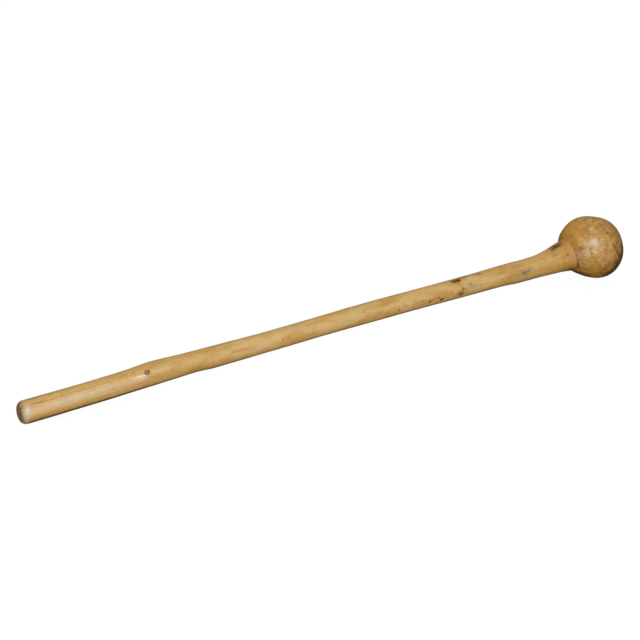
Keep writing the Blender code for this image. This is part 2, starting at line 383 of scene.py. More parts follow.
# Relief of bare wood: height (mm), size of the features along and across the grain (mm), seed
SHAFT_RELIEF = (
    (0.12, (55, 9, 9), 1),
    (0.07, (140, 4, 4), 2),
    (0.035, (12, 3, 3), 3),
    (0.012, (6, 0.9, 0.9), 4),
)
# Paler and browner patches of the wood, in the same form
WOOD_PATCHES = (
    (1.0, (18, 5, 5), 12),
    (0.6, (7, 2.5, 2.5), 13),
)


def from_place(distance, angle, radius, place):
    """Offsets along and across the shaft's surface from a place, in metres."""
    turn = (angle - math.radians(place[1]) + math.pi) % (2 * math.pi) - math.pi
    return distance - place[0] * MM, turn * radius


def soft_spot(along, across, length, width):
    return np.exp(-(2 * along / (length * MM)) ** 2 - (2 * across / (width * MM)) ** 2)


def scar_profile(distance, angle):
    """Signed distance from the scar's curve along the shaft, and how much of the scar shows there."""
    angles = np.radians([point[0] for point in SCAR_CURVE])
    places = np.array([point[1] for point in SCAR_CURVE]) * MM
    offset = distance - np.interp(angle, angles, places)
    shown = fade(angle, angles[0], angles[0] + 0.25) * fade(angle, angles[-1], angles[-1] - 0.35)
    return offset, shown


def shaft_relief(distance, angle, radius, straight):
    """How far the shaft's surface stands above its plain outline, in metres."""
    relief = layered_noise(straight, SHAFT_RELIEF)
    for *place, length, width, height in SWELLINGS:
        along, across = from_place(distance, angle, radius, place)
        relief += height * soft_spot(along, across, 1.6 * length, 1.6 * width)
    offset, shown = scar_profile(distance, angle)
    for height, place, width in SCAR_RELIEF:
        relief += height * shown * hump(offset, place * MM, width * MM)
    for *place, length, width, depth, _mask, _stain_length, _stain_width, _strength in HOLES:
        along, across = from_place(distance, angle, radius, place)
        rim = np.hypot(2 * along / (length * MM), 2 * across / (width * MM))
        relief -= depth * fade(rim, 1.35, 0.75)
    return relief * MM


def empty_masks(shape):
    return {name: np.zeros(shape) for name in MASKS}


def deepen(masks, name, values):
    """Strengthen a mask wherever the new values are above it."""
    masks[name] = np.maximum(masks[name], values)


def shaft_stains():
    """Every stain, painted shade and painted highlight on the shaft: mask, from butt (mm), angle, length,
    width (mm), strength.
    """
    for name, stains in TINTS.items():
        for stain in stains:
            yield name, *stain
    for *place, _length, _width, _depth, name, length, width, strength in HOLES:
        yield name, *place, length, width, strength


def lay_scar(masks, distance, angle, ragged):
    """Painted shade as a dark line along the scar's groove, then a pale lip and an amber line on its butt
    side.
    """
    offset, shown = scar_profile(distance, angle)
    deepen(masks, "umber_and_shade", 0.5 * shown * hump(offset, 0.3 * MM, 1.1 * MM) * (0.6 + 0.4 * ragged))
    deepen(masks, "pale_and_sheen", 0.5 * shown * hump(offset, -2.4 * MM, 1.3 * MM) * ragged)
    deepen(masks, "amber", 0.6 * shown * hump(offset, -5.0 * MM, 0.9 * MM))


def lay_broad_stains_and_shade(masks, distance, degrees, straight, ragged):
    """Painted shade on the underside and lower edge, darkest near the butt; pale patches along the upper
    front, partly painted sheen; amber patches.
    """
    near_butt = fade(distance, 170 * MM, 60 * MM)
    # Painted shade: the underside darker, and its lowest edge darker still, most of all near the butt.
    shaded_underside = fade(degrees + 12 * near_butt, 200, 234) * fade(degrees, 330, 290)
    deepen(masks, "umber_and_shade", (0.70 + 0.30 * near_butt) * shaded_underside * (0.7 + 0.3 * ragged))
    shaded_low_edge = fade(degrees + 3 * near_butt, 205, 229) * fade(degrees, 300, 260)
    deepen(masks, "bark_and_shade", (0.38 + 0.30 * near_butt) * shaded_low_edge)
    deepen(masks, "pale_and_sheen", 0.2 * fade(distance, 150 * MM, 60 * MM))
    patches = layered_noise(straight, WOOD_PATCHES)
    middle = fade(distance, 150 * MM, 210 * MM) * fade(distance, 545 * MM, 495 * MM)
    # Painted sheen: the pale patches are kept to the upper front, along the middle of the shaft.
    sheen_side = hump(degrees, 146, 60)
    deepen(masks, "pale_and_sheen", np.clip(0.42 + 0.70 * patches, 0, 1) * middle * sheen_side)
    deepen(masks, "amber", np.clip(-0.65 * patches - 0.06, 0, 1) * middle)


def shaft_masks(distance, angle, radius, straight):
    """Where the shaft is stained, or carries painted shade and painted highlights: for each mask a value at
    each point, 0 for bare wood.
    """
    masks = empty_masks(distance.shape)
    ragged = 1 + 0.35 * noise(straight, (3.5 * MM, 1.6 * MM, 1.6 * MM), 11)
    for name, *place, length, width, strength in shaft_stains():
        along, across = from_place(distance, angle, radius, place)
        spot = soft_spot(along, across, 1.3 * length * ragged, 1.3 * width * ragged)
        deepen(masks, name, strength * spot)
    lay_scar(masks, distance, angle, ragged)
    lay_broad_stains_and_shade(masks, distance, np.degrees(angle), straight, ragged)
    masks["burl"] = fade(distance, 546 * MM, 590 * MM)
    return masks


# ---------------- marks on the ball
# Pits: direction from the ball's centre, radius (mm), depth (mm)
BALL_PITS = (
    ((0.07, -0.64, 0.76), 1, 0.7),
    ((-0.56, -0.80, 0.22), 0.8, 0.5),
    ((-0.57, -0.73, 0.38), 0.8, 0.6),
    ((-0.81, -0.07, 0.59), 0.9, 0.4),
    ((-0.28, -0.91, -0.31), 0.7, 0.5),
    ((-0.37, -0.24, 0.90), 1.1, 0.3),
    ((0.55, 0.60, 0.58), 1, 0.8),
    ((0.30, 0.90, -0.20), 1.2, 0.9),
    ((0.90, 0.20, -0.30), 0.9, 0.6),
    ((-0.30, 0.85, 0.40), 1, 0.6),
    ((0.20, -0.45, -0.85), 0.9, 0.6),
)
# Drying cracks: the directions that each runs through, width and depth (mm), darkness
BALL_CRACKS = (
    (
        ((-0.56, -0.80, 0.20), (-0.56, -0.81, 0.05), (-0.52, -0.84, -0.10), (-0.52, -0.83, -0.24)),
        0.7, 0.25, 0.35,
    ),
    (
        ((0.14, -0.89, 0.43), (0.20, -0.93, 0.30), (0.25, -0.95, 0.20), (0.39, -0.92, -0.02),
         (0.47, -0.85, -0.22)),
        1.6, 0.45, 0.95,
    ),
    (
        ((0.27, -0.95, 0.16), (0.12, -0.98, 0.13), (0.03, -0.99, 0.07)),
        1.0, 0.3, 0.45,
    ),
    (
        ((0.30, -0.90, 0.30), (0.36, -0.90, 0.18), (0.45, -0.89, 0.05)),
        1.0, 0.3, 0.80,
    ),
    (
        ((0.80, 0.30, 0.50), (0.72, 0.52, 0.42), (0.60, 0.72, 0.30), (0.42, 0.88, 0.22)),
        0.9, 0.5, 0.8,
    ),
)
# Stains by mask, with painted shade and painted highlights among them: direction from the ball's centre,
# spread (degrees), strength
BALL_TINTS = {
    # The broad ones under the ball and low on its front are painted shade; the small ones darken pits.
    "bark_and_shade": (
        ((-0.57, -0.79, 0.24), 2.6, 0.6), ((0.44, -0.90, -0.03), 6, 0.45),
        ((0.45, -0.70, -0.56), 24, 0.9), ((0.66, -0.68, -0.32), 18, 0.8),
        ((-0.77, -0.30, -0.56), 11, 0.75), ((-0.66, -0.46, -0.60), 9, 0.6),
        ((0.58, -0.76, -0.30), 10, 0.9), ((0.16, -0.79, -0.59), 9, 0.85),
        ((0.30, -0.90, -0.31), 8, 0.85), ((-0.50, -0.42, -0.76), 14, 0.85),
        ((0.55, 0.60, 0.58), 2.2, 0.8), ((0.30, 0.90, -0.20), 2.6, 0.8),
        ((0.90, 0.20, -0.30), 2.2, 0.7), ((-0.30, 0.85, 0.40), 2.2, 0.7),
    ),
    # The broad ones low on the front and the one at the foot of the seam's crease are painted shade.
    "umber_and_shade": (
        ((0.07, -0.64, 0.76), 3, 0.8), ((-0.57, -0.73, 0.38), 2, 0.35),
        ((-0.57, -0.74, 0.36), 6, 0.28), ((-0.81, -0.07, 0.59), 3, 0.6),
        ((-0.28, -0.91, -0.31), 2.4, 0.7), ((-0.75, -0.56, 0.35), 3.6, 0.6),
        ((-0.01, -0.02, 1.00), 4, 0.6), ((-0.36, -0.22, 0.91), 3.2, 0.5),
        ((-0.01, -0.35, 0.94), 3, 0.45), ((0.20, -0.91, 0.36), 6, 0.5),
        ((0.29, -0.95, 0.11), 4, 0.45), ((-0.15, -0.98, 0.11), 4, 0.35),
        ((0.22, -0.88, -0.42), 12, 0.8), ((0.06, -0.84, -0.54), 17, 0.9),
        ((0.50, -0.76, -0.42), 36, 1.1), ((0.66, -0.74, 0.10), 14, 0.9),
        ((-0.84, -0.48, -0.26), 8, 0.8), ((-0.80, 0.42, 0.43), 3, 0.45),
        ((-0.64, -0.09, 0.77), 3.4, 0.4), ((0.00, -0.33, 0.94), 3.4, 0.4),
        ((0.33, -0.67, 0.67), 6, 0.45), ((-0.53, -0.81, -0.24), 3, 0.45),
        ((-0.22, -0.97, 0.10), 4, 0.35), ((0.19, -0.92, 0.33), 4.5, 0.6),
        ((0.30, -0.94, 0.13), 4.5, 0.65), ((0.08, -0.94, -0.33), 6, 0.6),
        ((-0.40, 0.80, -0.40), 15, 0.7),
    ),
    "grey": (
        ((-0.37, -0.24, 0.90), 6, 0.5), ((-0.74, -0.57, 0.36), 5.4, 0.7),
        ((0.70, 0.10, 0.70), 9, 0.5),
    ),
    "amber": (
        ((-0.70, -0.10, 0.72), 18, 0.9), ((-0.84, -0.20, 0.50), 14, 0.8),
        ((-0.90, 0.30, 0.30), 24, 0.7), ((-0.10, -0.60, -0.80), 30, 0.8),
        ((-0.36, -0.77, -0.53), 20, 1.4), ((-0.74, 0.30, 0.60), 24, 1.4),
        ((0.50, 0.70, 0.30), 24, 0.7),
    ),
    # The broad one facing the key light is a painted highlight, and the one by the neck lightens shade
    # there; the rest are paler wood.
    "pale_and_sheen": (
        ((0.11, -0.98, 0.16), 5, 0.6), ((0.36, -0.91, 0.21), 3.4, 0.6),
        ((-0.35, -0.80, 0.48), 18, 0.5), ((-0.88, 0.10, 0.44), 16, 0.28),
        ((0.07, -0.99, 0.06), 5, 0.6), ((0.43, -0.88, 0.20), 4, 0.9),
        ((0.02, -0.91, 0.42), 8, 0.6), ((-0.05, -0.96, 0.10), 14, 0.5),
    ),
    "rose": (
        ((-0.80, -0.56, 0.16), 10, 0.5),
    ),
    # Painted highlight facing the key light, and a painted glint on a pit's rim.
    "scuff_and_highlight": (
        ((-0.60, -0.78, 0.18), 1.8, 0.6), ((-0.42, -0.69, 0.60), 8, 0.55),
        ((-0.52, -0.66, 0.54), 5, 0.35),
    ),
}
# Relief of the burl: height (mm), size of the features (mm), seed
BALL_RELIEF = (
    (0.10, 11, 21),
    (0.07, 5, 22),
    (0.035, 2.2, 23),
    (0.012, 1.0, 24),
)


def crack_distance(directions, path):
    """Distance over the ball from a crack's path, in metres."""
    nearest = np.full(directions.shape[:-1], np.inf)
    corners = [unit(np.array(point)) for point in path]
    for start, end in zip(corners, corners[1:]):
        run = end - start
        share = np.clip(((directions - start) @ run) / (run @ run), 0.0, 1.0)
        gap = np.linalg.norm(directions - start - share[..., None] * run, axis=-1)
        nearest = np.minimum(nearest, gap)
    return nearest * BALL_LONG_RADIUS


def crack_lines(directions, places):
    """For each crack, every point's distance from it, then its width, depth (mm) and darkness."""
    wander = 0.5 * MM * noise(places, 3 * MM, 25)
    for path, width, depth, darkness in BALL_CRACKS:
        yield crack_distance(directions, path) + wander, width, depth, darkness


def ball_relief(directions, places):
    """Fine relief of the carved burl, in metres."""
    relief = layered_noise(places, BALL_RELIEF)
    for centre, radius, depth in BALL_PITS:
        spread = math.degrees(radius * MM / BALL_LONG_RADIUS)
        relief -= depth * near_direction(directions, centre, spread)
    for away, width, depth, _darkness in crack_lines(directions, places):
        relief -= depth * hump(away, 0, width * MM / 2)
    return relief * MM


def ball_masks(directions, places):
    """Where the ball is stained, or carries painted shade and painted highlights, in the same form as the
    shaft's masks.
    """
    masks = empty_masks(directions.shape[:-1])
    ragged = 1 + 0.25 * noise(places, 5 * MM, 31) + 0.15 * noise(places, 2 * MM, 32)
    for name, stains in BALL_TINTS.items():
        for centre, spread, strength in stains:
            deepen(masks, name, strength * near_direction(directions, centre, 1.1 * spread * ragged))
    for away, width, _depth, darkness in crack_lines(directions, places):
        deepen(masks, "umber_and_shade", darkness * hump(away, 0, 0.75 * width * MM))
    masks["burl"] += 1.0
    return masks


# ---------------- meshes from rings of points
def ring_mesh(name, rings, masks, grain, burl_place):
    """Closed mesh from rings of points, shape (rings, sides, 3), with its ends drawn to their centres."""
    ring_count, sides = rings.shape[:2]
    points = np.concatenate((rings.reshape(-1, 3), [rings[0].mean(0)], [rings[-1].mean(0)]))
    grid = np.arange(ring_count * sides).reshape(ring_count, sides)
    turned = np.roll(grid, -1, axis=1)
    quads = np.stack((grid[:-1], turned[:-1], turned[1:], grid[1:]), axis=-1).reshape(-1, 4)
    first, last = ring_count * sides, ring_count * sides + 1
    start_fan = [(first, b, a) for a, b in zip(grid[0].tolist(), turned[0].tolist())]
    end_fan = [(last, a, b) for a, b in zip(grid[-1].tolist(), turned[-1].tolist())]
    mesh = bpy.data.meshes.new(name)
    mesh.from_pydata(points.tolist(), [], quads.tolist() + start_fan + end_fan)
    mesh.shade_smooth()

    def with_ends(values):
        flat = values.reshape((-1,) + values.shape[2:])
        return np.concatenate((flat, [values[0].mean(0)], [values[-1].mean(0)]))

    for mask, values in masks.items():
        layer = mesh.attributes.new(mask, 'FLOAT', 'POINT')
        layer.data.foreach_set("value", with_ends(values).astype(np.float32))
    for label, places in (("grain", grain), ("burl_place", burl_place)):
        layer = mesh.attributes.new(label, 'FLOAT_VECTOR', 'POINT')
        layer.data.foreach_set("vector", with_ends(places).astype(np.float32).ravel())
    obj = bpy.data.objects.new(name, mesh)
    bpy.context.scene.collection.objects.link(obj)
    return obj


# Stretches of the shaft with fine detail: middle from the butt (mm), half length (mm), ring spacing (mm)
FINE_STRETCHES = (
    (0, 6, 0.6), (120, 3.4, 0.26), (172, 2, 0.6), (212, 2, 0.6), (260, 3, 0.7), (308, 5, 0.8),
    (347, 2, 0.6), (366, 2, 0.6), (385, 2, 0.5), (419, 2, 0.45), (430, 5, 0.42), (452, 7, 0.55),
    (470, 5, 0.8), (525, 8, 0.9), (577, 3, 0.5), (592, 5, 0.6),
)
PLAIN_SPACING = 2.0
SPACING_GROWTH = 0.18
SHAFT_SIDES = 160
FINE_SIDE = math.radians(140)
SIDE_CROWDING = 0.40


def ring_spacing(place):
    """Spacing of rings (mm) at a place along the shaft: fine where there is detail."""
    spacing = PLAIN_SPACING
    for centre, half, fine in FINE_STRETCHES:
        beyond = max(abs(place - centre) - half, 0.0)
        spacing = min(spacing, fine + SPACING_GROWTH * beyond)
    return spacing


def ring_places(start, end):
    """Distances from the butt (mm) of the shaft's rings."""
    places = [start]
    while places[-1] < end:
        places.append(places[-1] + ring_spacing(places[-1]))
    return np.array(places[:-1] + [end])


def side_angles():
    """Angles of the shaft's mesh lines, in order, crowded together on the side with the most detail."""
    even = 2 * math.pi * np.arange(SHAFT_SIDES) / SHAFT_SIDES
    return (even - SIDE_CROWDING * np.sin(even - FINE_SIDE)) % (2 * math.pi)


def straightened(distance, angle, radius):
    """Places on the shaft as if it were straight, so that the grain follows its bends."""
    return np.stack((distance, radius * np.cos(angle), radius * np.sin(angle)), axis=-1)


def beyond_knot(distance, angle, radius):
    """How far points lie outside the edge of the dead branch stub, negative inside it."""
    along, across = from_place(distance, angle, radius, KNOT_PLACE)
    return np.hypot(along, across / KNOT_FLATTENING) - KNOT_RADIUS


def seam_front(angle):
    """1 where the crease at the seam is at its plainest, on one side of the neck, down to 0."""
    return hump(np.degrees(angle), 180, 34)


def rim_radius(angle):
    """Rounding of the butt's rim: worn well down except on one side."""
    sharp_side = np.maximum(0.0, np.cos(angle - math.radians(328))) ** 1.5
    return BUTT_RIM - 3.6 * MM * sharp_side


def side_lines(angles):
    """Distances from the butt of each ring's points on the shaft's side, and where the ball begins.

    Rings start at the butt's rim, which varies round the shaft, and bend in the neck to end at the seam.
    """
    plain = ring_places(BUTT_RIM / MM, NECK_START / MM) * MM
    neck = ring_places(NECK_START / MM, NECK_END / MM)[1:] * MM
    neck_share = (neck - NECK_START) / (NECK_END - NECK_START)

    def down_neck(share):
        distance = NECK_START + (NECK_END - NECK_START) * share * np.ones_like(angles)
        return shaft_centre(distance) + around(angles) * shaft_radius(distance, angles)[..., None]

    seam = NECK_START + (NECK_END - NECK_START) * meet_ball(down_neck, SEAM_GAP)
    bent = NECK_START + neck_share[:, None] * (seam - NECK_START)
    near_rim = np.clip(1 - (plain - BUTT_RIM) / (12 * MM), 0.0, 1.0)
    straight = plain[:, None] - near_rim[:, None] * (BUTT_RIM - rim_radius(angles))
    return np.concatenate((straight, bent)), seam


def shaft_side(angles):
    """Rings of the shaft's side from the butt's rim to the seam at the ball, with masks and grain."""
    distance, seam = side_lines(angles)
    angle = np.broadcast_to(angles, distance.shape)
    radius = shaft_radius(distance, angle)
    straight = straightened(distance, angle, radius)
    to_seam = seam - distance
    front = seam_front(angle)
    relief = shaft_relief(distance, angle, radius, straight) * ease(distance / (4 * MM))
    relief += (0.03 + 0.20 * front) * MM * hump(to_seam, 0, 2.6 * MM)
    relief -= (0.15 + 0.45 * front) * MM * hump(to_seam, 0, 0.6 * MM)
    from_knot = beyond_knot(distance, angle, radius)
    relief -= RECESS_DEPTH * fade(from_knot, 0.3 * MM, -0.1 * MM)
    points = shaft_centre(distance) + around(angle) * (radius + relief)[..., None]
    masks = shaft_masks(distance, angle, radius, straight)
    # Painted shade: the crease at the seam darkened, most of all on the front.
    deepen(masks, "umber_and_shade", (0.1 + 0.6 * front) * hump(to_seam, 0, 0.8 * MM))
    # A dark ring round the stub: its bark, and painted shade in the gap round it.
    deepen(masks, "bark_and_shade", 0.7 * fade(from_knot, 0.6 * MM, 0.25 * MM))
    return points, masks, straight, relief


# Drying checks of the sawn end: angle, and the shares of the radius where each starts and ends
BUTT_CHECKS = (
    (20, 0.15, 0.75), (95, 0.10, 0.95), (170, 0.1, 0.6), (238, 0.05, 0.9), (300, 0.2, 0.7),
)
END_RELIEF = ((0.05, 1.3, 42), (0.10, 5, 43))
CAP_RINGS = 22
RIM_RINGS = 8


def butt_checks(angle, radius, share):
    """1 in the drying checks of the sawn end, 0 beside them."""
    cracked = np.zeros_like(radius)
    for check_angle, start, end in BUTT_CHECKS:
        turn = (np.degrees(angle) - check_angle + 180) % 360 - 180
        wide = 0.28 * MM * fade(share, end, end - 0.3) * fade(share, start, start + 0.1)
        line = hump(np.radians(turn) * radius, 0, wide + 1e-6)
        cracked = np.maximum(cracked, line * (wide > 0.02 * MM))
    return cracked


def shaft_butt(angles, side_relief):
    """Rings of the sawn end, from its centre out, then round its worn rim, with masks and grain."""
    turns = np.linspace(math.pi / 2, 0.0, RIM_RINGS + 1)[1:-1]
    inset_share = np.concatenate((np.ones(CAP_RINGS), 1 - np.cos(turns)))[:, None]
    depth_share = np.concatenate((np.zeros(CAP_RINGS), 1 - np.sin(turns)))[:, None]
    share = np.concatenate((np.linspace(0.03, 1.0, CAP_RINGS), np.ones(RIM_RINGS - 1)))[:, None]
    on_cap = np.concatenate((np.ones(CAP_RINGS), np.linspace(1, 0, RIM_RINGS)[1:] ** 1.2))[:, None]
    distance = depth_share * rim_radius(angles)
    angle = np.broadcast_to(angles, distance.shape)
    wear = 0.35 * MM * noise(around(angle) * 8 * MM, 6 * MM, 41) * (on_cap < 1)
    full = shaft_radius(distance, angle) - inset_share * rim_radius(angles) + wear * on_cap
    radius = share * (full + side_relief * (1 - on_cap))
    straight = straightened(distance, angle, radius)
    cracked = butt_checks(angle, radius, share) * on_cap
    sink = (0.15 * share ** 2 + layered_noise(straight, END_RELIEF)) * MM * on_cap
    points = shaft_centre(distance) + around(angle) * radius[..., None]
    points[..., 0] += sink + 0.5 * MM * cracked

    masks = empty_masks(distance.shape)
    degrees = np.degrees(angle)
    masks["end_grain"] = ease(2.2 * on_cap ** (1 - 0.6 * hump(degrees, 85, 45)))
    masks["bark_and_shade"] = 0.6 * cracked
    masks["pale_and_sheen"] += 0.3 * (on_cap < 1) * fade(on_cap, 1.3, 0.3)
    # Wear and painted highlight: the rim paler and greyer on its front, where the key light catches it.
    rim_wear_and_highlight = hump(degrees, 158, 44) * ease(4 * (1 - on_cap))
    masks["scuff_and_highlight"] = 0.9 * rim_wear_and_highlight * (0.75 + 0.25 * noise(straight, 1.5 * MM, 44))
    return points, masks, straight


def shaft_tenon(angles, seam):
    """Rings of the cupped shoulder inside the seam, and of the round tenon."""
    root = BALL_CENTRE + around(angles) * TENON_RADIUS
    rings = []
    for share in (0.2, 0.5, 0.8, 1.0):
        place = seam * (1 - share) + root * share

        def along_x(t):
            low = BALL_CENTRE[0] - 1.5 * BALL_LONG_RADIUS
            x = low + (BALL_CENTRE[0] - low) * t * np.ones(len(angles))
            return np.stack((x, place[:, 1], place[:, 2]), axis=-1)

        rings.append(along_x(meet_ball(along_x, SEAM_GAP)))
    tenon_end = BALL_CENTRE[0] + TENON_END
    for x, radius in ((tenon_end - TENON_CHAMFER, TENON_RADIUS), (tenon_end, TENON_RADIUS - TENON_CHAMFER)):
        ring = BALL_CENTRE + around(angles) * radius
        ring[:, 0] = x
        rings.append(ring)
    return np.array(rings)


def make_shaft():
    """The branch: sawn butt, side, shoulder and tenon as one closed mesh."""
    angles = side_angles()
    side, side_masks, side_grain, relief = shaft_side(angles)
    butt, butt_masks, butt_grain = shaft_butt(angles, relief[0])
    tenon = shaft_tenon(angles, side[-1])
    rings = np.concatenate((butt, side, tenon))
    masks = {}
    for name in MASKS:
        hidden = np.zeros(tenon.shape[:2])
        masks[name] = np.concatenate((butt_masks[name], side_masks[name], hidden))
    grain = np.concatenate((butt_grain, side_grain, tenon - BUTT_CENTRE))
    return ring_mesh("branch_shaft", rings, masks, grain, rings - BALL_CENTRE)


BALL_SIDES = 400
BALL_RINGS = 205


def make_ball():
    """The carved ball, in rings round its blind socket's axis, starting at the socket's floor."""
    angles = 2 * math.pi * np.arange(BALL_SIDES) / BALL_SIDES
    bore = TENON_RADIUS + SOCKET_FIT
    mouth = math.asin(bore / BALL_LONG_RADIUS)
    polar = np.linspace(mouth, math.pi - 0.01, BALL_RINGS)
    polar, angle = np.meshgrid(polar, angles, indexing='ij')
    directions = around(angle) * np.sin(polar)[..., None]
    directions[..., 0] = -np.cos(polar)
    places = directions * BALL_LONG_RADIUS
    radius = ball_radius(directions) + ball_relief(directions, places)
    surface = BALL_CENTRE + directions * radius[..., None]
    surface[..., 2] = soft_floor(surface[..., 2])
    floor_x = TENON_END + SOCKET_CLEARANCE
    wall = []
    for x, size in ((floor_x, 0.5), (floor_x, 1.0), (-0.3 * BALL_LONG_RADIUS, 1.0)):
        ring = BALL_CENTRE + around(angles) * bore * size
        ring[:, 0] = BALL_CENTRE[0] + x
        wall.append(ring)
    wall = np.array(wall)
    rings = np.concatenate((wall, surface))
    masks = ball_masks(directions, places)
    hidden = np.zeros(wall.shape[:2])
    masks = {name: np.concatenate((hidden, values)) for name, values in masks.items()}
    return ring_mesh("burl_ball", rings, masks, rings - BALL_CENTRE, rings - BALL_CENTRE)


def soft_floor(height):
    """Press the underside into a worn flat at z = 0 with a rounded edge."""
    blend = 0.25 * MM
    return np.where(height > blend, height, blend * np.exp(np.minimum(height - blend, 0.0) / blend))


KNOT_SIDES = 64
KNOT_TOP_RINGS = 14
STUB_RELIEF = ((0.05, 0.7, 51), (0.07, 1.6, 52))


def make_knot():
    """The dead branch stub: a tapered plug with a worn, checked end."""
    place = np.array([KNOT_PLACE[0] * MM]), np.array([math.radians(KNOT_PLACE[1])])
    outward = around(place[1])[0]
    along = np.array((1.0, 0.0, 0.0))
    across = np.cross(outward, along)
    origin = shaft_centre(place[0])[0] + outward * (shaft_radius(*place)[0] + KNOT_LEVEL)
    angles = 2 * math.pi * np.arange(KNOT_SIDES) / KNOT_SIDES
    round_shape = 1 + 0.05 * np.cos(2 * angles) + 0.04 * np.cos(3 * angles + 1)
    outline = np.cos(angles)[:, None] * along - KNOT_FLATTENING * np.sin(angles)[:, None] * across
    outline *= KNOT_RADIUS * round_shape[:, None]
    size = np.concatenate((np.linspace(0.04, 1.0, KNOT_TOP_RINGS), (1.0, 0.75)))
    top = size[:KNOT_TOP_RINGS]
    height = np.concatenate((-0.10 - 0.25 * top ** 4, (-1.2, -KNOT_DEPTH / MM))) * MM
    local_rings = size[:, None, None] * outline + height[:, None, None] * outward
    local = local_rings @ np.stack((along, across, outward), axis=1)
    rough = layered_noise(local, STUB_RELIEF)
    on_top = (np.arange(len(size)) < KNOT_TOP_RINGS)[:, None]
    check = hump(local[..., 1] - 0.25 * local[..., 0], 0, 0.16 * MM) * fade(size, 0.8, 0.5)[:, None]
    rings = origin + local_rings + outward * ((rough - 0.35 * check) * on_top * MM)[..., None]
    masks = empty_masks(rings.shape[:2])
    lopsided = size[:, None] + 0.12 * np.cos(angles + 0.9)
    masks["umber_and_shade"] = np.maximum(fade(lopsided, 0.6, 0.9), 0.9 * check)
    return ring_mesh("dead_knot", rings, masks, local, local)


# ---------------- materials
class Surface:
    """A material whose nodes are added by short calls; values may be numbers, colours or sockets."""

    def __init__(self, name):
        self.material = bpy.data.materials.new(name)
        self.material.use_nodes = True
        self.tree = self.material.node_tree
        self.shader = self.tree.nodes["Principled BSDF"]

    def feed(self, node, values):
        """Set or link a node's inputs, each given by its name or number."""
        for name, value in values.items():
            if isinstance(value, bpy.types.NodeSocket):
                self.tree.links.new(value, node.inputs[name])
            else:
                node.inputs[name].default_value = value

    def node(self, kind, values, output=0, **settings):
        """Add a node and return one of its outputs, by name or number."""
        made = self.tree.nodes.new(kind)
        for name, value in settings.items():
            setattr(made, name, value)
        self.feed(made, values)
        return made.outputs[output]

    def mask(self, name):
        return self.node('ShaderNodeAttribute', {}, "Fac", attribute_name=name)

    def place(self, scale, layer="grain"):
        """The mesh's own coordinates for a figure, scaled along each axis."""
        place = self.node('ShaderNodeAttribute', {}, "Vector", attribute_name=layer)
        return self.node('ShaderNodeMapping', {"Vector": place, "Scale": scale})

    def noise(self, vector, detail, roughness, distortion=0.0):
        shape = {"Detail": detail, "Roughness": roughness, "Distortion": distortion}
        return self.node('ShaderNodeTexNoise', {"Vector": vector, "Scale": 1.0, **shape}, "Fac")

    def spots(self, vector):
        """Distance from scattered points."""
        return self.node('ShaderNodeTexVoronoi', {"Vector": vector, "Scale": 1.0}, "Distance")

    def rings(self, vector, scale, distortion):
        """Growth rings round the X axis."""
        shape = {"Scale": scale, "Distortion": distortion, "Detail": 3.0, "Detail Scale": 1.5}
        settings = {"wave_type": 'RINGS', "rings_direction": 'X'}
        return self.node('ShaderNodeTexWave', {"Vector": vector, **shape}, "Fac", **settings)

    def scaled(self, value, low, high, to_low=0.0, to_high=1.0):
        """Map low..high to to_low..to_high, clamped and eased."""
        limits = {"From Min": low, "From Max": high, "To Min": to_low, "To Max": to_high}
        settings = {"interpolation_type": 'SMOOTHSTEP'}
        return self.node('ShaderNodeMapRange', {"Value": value, **limits}, "Result", **settings)

    def math(self, operation, first, second):
        return self.node('ShaderNodeMath', {0: first, 1: second}, operation=operation)

    def mix(self, share, first, second):
        """Mix colours. The node's share is its input 0, and its colours are 6 and 7 and output 2."""
        return self.node('ShaderNodeMix', {0: share, 6: first, 7: second}, 2, data_type='RGBA')

    def lay(self, colour, layers):
        """Lay figures over a colour: figure, where it starts, where it is full, its strength and colour."""
        for figure, start, full, strength, tint in layers:
            colour = self.mix(self.scaled(figure, start, full, 0.0, strength), colour, tint)
        return colour


def rgb(red, green, blue):
    return (red, green, blue, 1.0)


# Stains, painted shade and painted highlights in the order that they are laid over the wood: mask, colour,
# strength
STAIN_COLOURS = (
    ("amber", rgb(0.56, 0.262, 0.036), 0.7),
    ("pale_and_sheen", rgb(0.66, 0.47, 0.215), 0.75),
    ("rose", rgb(0.51, 0.31, 0.16), 0.75),
    ("scuff_and_highlight", rgb(0.61, 0.525, 0.415), 0.85),
    ("grey", rgb(0.215, 0.14, 0.065), 0.75),
    ("copper", rgb(0.29, 0.285, 0.165), 0.9),
    ("slate", rgb(0.15, 0.15, 0.085), 0.9),
    ("umber_and_shade", rgb(0.225, 0.09, 0.018), 0.9),
    ("bark_and_shade", rgb(0.085, 0.036, 0.008), 0.97),
)


def add_marks(wood, colour, breakup):
    """Lay the stains, painted shade and painted highlights of the mesh's masks over a wood colour, their
    edges broken up by noise.
    """
    return wood.lay(colour, [
        (wood.math('MULTIPLY', wood.mask(name), breakup), 0.02, 0.95, strength, tint)
        for name, tint, strength in STAIN_COLOURS
    ])


def finish_surface(wood, colour, roughness, height, strength, depth):
    """Join a figure to the shader. Dark, broken wood and painted shade are duller than the rest."""
    bark_and_shade = wood.mask("bark_and_shade")
    wood.feed(wood.shader, {
        "Base Color": colour,
        "Roughness": wood.math('ADD', roughness, wood.math('MULTIPLY', bark_and_shade, 0.3)),
        "Specular IOR Level": wood.scaled(bark_and_shade, 0.1, 0.8, 0.5, 0.12),
        "Normal": wood.node('ShaderNodeBump', {"Height": height, "Strength": strength, "Distance": depth}),
    })


